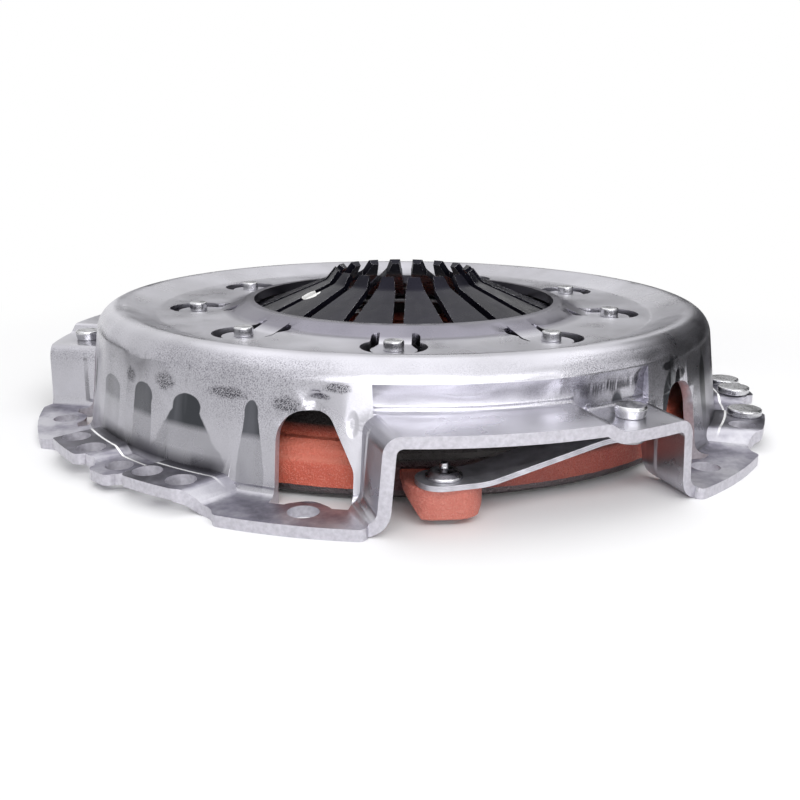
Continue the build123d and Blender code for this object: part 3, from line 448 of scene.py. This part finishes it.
# %% [markdown]
# ## Zinc, strip and wire
# Rivets are zinc plated, a bright clean metal with faint blotches. The strap leaves are rolled spring
# strip, and the wire rings are drawn wire, both a darker grey steel.

# %% Zinc, strip and wire
zinc, tree, shader, place = start_material("zinc_plated_rivet", Metallic=1.0)
plating = add(tree, NOISE, {"Scale": 300.0, "Detail": 3.0}, {"Vector": place})
tree.links.new(add(tree, RAMP, {"stops": [(0.3, "#AFAFB2"), (0.7, "#DCDCDF")]}, {"Fac": plating}).outputs[0],
               shader.inputs["Base Color"])
tree.links.new(add(tree, RAMP, {"stops": [(0.3, 0.20), (0.7, 0.34)]}, {"Fac": plating}).outputs[0],
               shader.inputs["Roughness"])
tree.links.new(add(tree, BUMP, {"Distance": 0.08 * MM}, {"Height": plating}).outputs[0], shader.inputs["Normal"])

strip, tree, shader, place = start_material("rolled_spring_strip", Metallic=0.8, Roughness=0.40)
rolled = add(tree, NOISE, {"Scale": 200.0, "Detail": 3.0}, {"Vector": place})
tree.links.new(add(tree, RAMP, {"stops": [(0.3, "#A09FA6"), (0.7, "#C9C8CF")]}, {"Fac": rolled}).outputs[0],
               shader.inputs["Base Color"])

wire, tree, shader, place = start_material("drawn_steel_wire", Metallic=1.0, Roughness=0.35)
drawn = add(tree, NOISE, {"Scale": 200.0, "Detail": 3.0}, {"Vector": place})
tree.links.new(add(tree, RAMP, {"stops": [(0.3, "#6E6D70"), (0.7, "#8F8E92")]}, {"Fac": drawn}).outputs[0],
               shader.inputs["Base Color"])


def finish_with(piece, *materials):
    """Gives a piece its materials, in slot order."""
    piece.data.materials.clear()
    for material in materials:
        piece.data.materials.append(material)


finish_with(nodes["cover"], pressed_steel, cut_edge)
finish_with(nodes["diaphragm_spring"], lacquer, worn_edge)
finish_with(nodes["pressure_plate"], primer)
for name in ("upper_wire_ring", "lower_wire_ring"):
    finish_with(nodes[name], wire)
for name, node in nodes.items():
    if name.startswith("drive_strap"):
        finish_with(node, strip)
    elif "rivet" in name:
        finish_with(node, zinc)

# %% [markdown]
# ## Softened edges
# Sheet that is punched and iron that is cast have edges rounded by a few tenths of a millimetre, and
# those edges catch the light. A solid's mesh is loose triangles, so a copy is merged first, then
# flat faces are dissolved and a Bevel modifier rounds what is left.

# %% Softened copies


def softened(name, width, segments=2, edge_material=-1, angle=32):
    """A copy of a CAD piece with rounded edges, which stands for it."""
    source = nodes[name]
    piece = source.copy()
    piece.data = source.data.copy()
    piece.name = name + "_softened"
    piece.parent = None
    piece.matrix_world = Matrix.Identity(4)
    for key in list(piece.keys()):
        del piece[key]
    bpy.context.collection.objects.link(piece)
    bpy.ops.object.select_all(action="DESELECT")
    piece.select_set(True)
    bpy.context.view_layer.objects.active = piece
    bpy.ops.object.mode_set(mode="EDIT")
    bpy.ops.mesh.select_all(action="SELECT")
    bpy.ops.mesh.remove_doubles(threshold=0.002 * MM)
    bpy.ops.mesh.dissolve_limited(angle_limit=math.radians(0.4))
    bpy.ops.object.mode_set(mode="OBJECT")
    bpy.ops.object.shade_smooth_by_angle(angle=math.radians(angle))
    round_edges = piece.modifiers.new("edges", "BEVEL")
    round_edges.width = width
    round_edges.segments = segments
    round_edges.limit_method = "ANGLE"
    round_edges.angle_limit = math.radians(angle)
    round_edges.use_clamp_overlap = True
    round_edges.harden_normals = True
    round_edges.material = edge_material
    bpy.ops.object.modifier_apply(modifier=round_edges.name)
    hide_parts(name)
    print(piece.name, "faces:", len(piece.data.polygons))
    return piece


cover_piece = softened("cover", 0.35 * MM, edge_material=1)
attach(cover_piece, "cover")

# %% Cut faces of the sheet
# A cut face stands upright: at the outline of flange and ledge, across the wall in each window, and
# in the flange's holes and slits, which lie clear of the pocket's folds.
WINDOW_ANGLE, WINDOW_REACH = math.radians(30), math.radians(5.9)
WALL_INNER, WALL_OUTER, OUTLINE_FROM = 103 * MM, 114 * MM, 118 * MM
FLANGE_FROM, FLANGE_TOP, FOLD_REACH = 114.5 * MM, 8 * MM, math.radians(25)
cut_faces = 0
for face in cover_piece.data.polygons:
    centre, normal = face.center, face.normal
    radius = math.hypot(centre.x, centre.y)
    along = abs(centre.x * normal.x + centre.y * normal.y) / radius
    from_pocket = math.atan2(centre.x, -centre.y) % SECTOR
    off_window = min(abs(from_pocket - WINDOW_ANGLE), abs(from_pocket - SECTOR + WINDOW_ANGLE))
    at_outline = radius > OUTLINE_FROM and abs(normal.z) < 0.4 and along > 0.5
    in_window = (off_window < WINDOW_REACH and centre.z > 3 * MM and along < 0.4 and normal.z < 0.5
                 and WALL_INNER < radius < WALL_OUTER)
    off_middle = min(from_pocket, SECTOR - from_pocket)
    in_flange = (radius > FLANGE_FROM and centre.z < FLANGE_TOP and abs(normal.z) < 0.4
                 and off_middle > FOLD_REACH)
    if at_outline or in_window or in_flange:
        face.material_index = 1
        cut_faces += 1
print("cut faces:", cut_faces)
plate_piece = softened("pressure_plate", 0.6 * MM)
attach(plate_piece, "pressure_plate")

# %% [markdown]
# ## The diaphragm spring
# The spring rocks between its wire rings: when the clutch is bolted down its fingers sink and its
# outer edge rises. A rigid copy can't do that, and the softened copy here stays rigid, riding on the
# cover with a mesh of its own. Its cut edges are worn bright.

# %% The spring
spring_piece = softened("diaphragm_spring", 0.3 * MM, edge_material=1)
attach(spring_piece, "cover")
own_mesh(spring_piece)

# %% [markdown]
# ## Drive straps
# Each pack is three leaves of spring strip, riveted to the casting at one end and to the cover's
# ledge at the other. Each leaf here is a softened copy with its place baked into its mesh.

# %% Softened leaves
for pocket in range(POCKETS):
    for leaf in (1, 2, 3):
        leaf_piece = softened(f"drive_strap_{pocket + 1}_leaf_{leaf}", 0.08 * MM)
        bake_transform(leaf_piece)

# %% [markdown]
# ## Rivets
# A rivet's head is upset cold, so its rim is a small round and not a corner. The heads are copied
# and rounded by a Bevel with three steps, and each keeps the place of the solid it stands for.

# %% Rounded rivets
for name in [n for n in nodes if "rivet" in n]:
    rivet_piece = softened(name, 0.28 * MM, segments=3, angle=28)
    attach(rivet_piece, "pressure_plate" if name.startswith("lug") else "cover")

# %% [markdown]
# ## Floor, background and light
# The part lies on a pale table with nothing behind it. The table takes the soft shadow close to the
# part and turns to plain white further out, where the camera and mirrored rays see the same white.
# Light is a plain white sky, a broad soft lamp overhead and two in front. Dark cards at the sides,
# out of the camera's sight, give the bright metal something darker to mirror, one of them lying on
# the table at the right, and a bright card low in front whitens the ledge and the wall over it.

# %% Table


def seen_directly(tree):
    """One for rays from the camera, from a mirroring face or through glass, else nought."""
    rays = add(tree, "ShaderNodeLightPath")
    seen = add(tree, MATH, {"operation": "MAXIMUM"},
               {0: rays.outputs["Is Camera Ray"], 1: rays.outputs["Is Glossy Ray"]})
    return add(tree, MATH, {"operation": "MAXIMUM"}, {0: seen, 1: rays.outputs["Is Transmission Ray"]})


bpy.ops.object.select_all(action="DESELECT")
bpy.ops.mesh.primitive_plane_add(size=6.0, location=(0, 0, 0))
table = bpy.context.object
table.name = "table"
table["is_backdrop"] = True
table_paint, tree, shader, place = start_material("white_table", Roughness=0.9)
shader.inputs["Base Color"].default_value = colour("#F7F7F8")
shader.inputs["Specular IOR Level"].default_value = 0.1
out_from_part = add(tree, "ShaderNodeVectorMath", {"operation": "LENGTH"}, {0: place})
fade = add(tree, MAP_RANGE, {"From Min": 0.14, "From Max": 0.30, "interpolation_type": "SMOOTHSTEP"},
           {"Value": out_from_part.outputs["Value"]})
plain = add(tree, MATH, {"operation": "MULTIPLY"}, {0: seen_directly(tree), 1: fade})
white = add(tree, "ShaderNodeEmission", {"Color": (1.0, 1.0, 1.0, 1.0), "Strength": 1.0})
both = add(tree, "ShaderNodeMixShader", links={0: plain, 1: shader, 2: white})
tree.links.new(both.outputs[0], tree.nodes["Material Output"].inputs["Surface"])
table.data.materials.append(table_paint)

# %% Sky
world = bpy.data.worlds.new("white_sky")
bpy.context.scene.world = world
world.use_nodes = True
tree = world.node_tree
level = add(tree, MAP_RANGE, {"To Min": 0.55, "To Max": 1.0}, {"Value": seen_directly(tree)})
tree.nodes["Background"].inputs["Color"].default_value = (1.0, 1.0, 1.0, 1.0)
tree.links.new(level.outputs[0], tree.nodes["Background"].inputs["Strength"])


# %% Lamps and cards
def aimed(location, target=(0, 0, 0.02)):
    """The turn that points a lamp or card at the part."""
    return (Vector(target) - Vector(location)).to_track_quat("-Z", "Y").to_euler()


for name, location, width, depth, watts in (("overhead", (0.05, 0.10, 0.90), 1.30, 1.30, 4.0),
                                            ("front_strip", (-0.10, -0.80, 0.72), 1.20, 0.22, 5.0),
                                            ("front_low", (-0.04, -0.80, 0.14), 0.85, 0.22, 1.5)):
    lamp = bpy.data.lights.new(name, "AREA")
    lamp.shape = "RECTANGLE"
    lamp.size, lamp.size_y = width, depth
    lamp.energy = watts
    lamp_object = bpy.data.objects.new(name, lamp)
    lamp_object.location = location
    lamp_object.rotation_euler = aimed(location)
    lamp_object.visible_camera = False
    lamp_object.visible_glossy = name != "front_low"
    bpy.context.collection.objects.link(lamp_object)

black_card, tree, shader, place = start_material("black_card", Roughness=0.9)
shader.inputs["Base Color"].default_value = colour("#1A1A1C")
shader.inputs["Specular IOR Level"].default_value = 0.0
white_card, tree, shader, place = start_material("white_card", Emission_Strength=3.0)
shader.inputs["Emission Color"].default_value = (1.0, 1.0, 1.0, 1.0)
# Each card: its direction in degrees, its distance, width and height in metres, and how it stands
for name, direction, distance, width, height, stands, card_paint in (
        ("left_card", -128, 0.62, 0.50, 0.075, True, black_card),
        ("back_card", 162, 0.62, 0.70, 0.18, True, black_card),
        ("right_card", 58, 0.62, 0.36, 0.12, True, black_card),
        ("far_right_card", 102, 0.62, 0.70, 0.50, True, black_card),
        ("right_floor_card", 110, 0.40, 0.75, 0.50, False, black_card),
        ("front_card", -3, 0.72, 0.80, 0.24, True, white_card)):
    angle = math.radians(direction)
    middle_z = height / 2 + 0.012 if stands else 0.002
    location = Vector((distance * math.sin(angle), -distance * math.cos(angle), middle_z))
    turned = aimed(location, (0, 0, location.z)) if stands else (0, 0, angle)
    bpy.ops.object.select_all(action="DESELECT")
    bpy.ops.mesh.primitive_plane_add(size=1.0, location=location, rotation=turned)
    card = bpy.context.object
    card.name = name
    card.scale = (width, height, 1.0)
    card.visible_camera = False
    card.visible_diffuse = False
    card.visible_shadow = False
    card.data.materials.append(card_paint)
    card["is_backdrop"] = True

# %% [markdown]
# ## Camera
# The camera stands close, a third of a metre away and about 16 degrees above the table, turned a
# little to the part's left, so the near rim spreads and the far one closes up.

# %% Camera
AZIMUTH, ELEVATION, DISTANCE = math.radians(-17.7), math.radians(15.569), 347.892 * MM
AIM = Vector((-1.015, 0.324, 0.312)) * MM
ROLL = math.radians(0.4028)
camera_data = bpy.data.cameras.new("camera")
camera_data.sensor_width = 36
camera_data.lens = 41.32
camera = bpy.data.objects.new("camera", camera_data)
bpy.context.collection.objects.link(camera)
back = Vector((math.sin(AZIMUTH) * math.cos(ELEVATION), -math.cos(AZIMUTH) * math.cos(ELEVATION), math.sin(ELEVATION)))
camera.location = AIM + back * DISTANCE
camera_turn = (-back).to_track_quat("-Z", "Y").to_matrix() @ Matrix.Rotation(ROLL, 3, "Z")
camera.rotation_euler = camera_turn.to_euler()
bpy.context.scene.camera = camera

# %% [markdown]
# ## Close
# The view stays plain, the sizes are noted, and the scene is closed.

# %% Close
bpy.context.scene.view_settings.view_transform = "Standard"
low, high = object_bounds()
print("dressed size in mm:", [round(1000 * s, 1) for s in high - low])
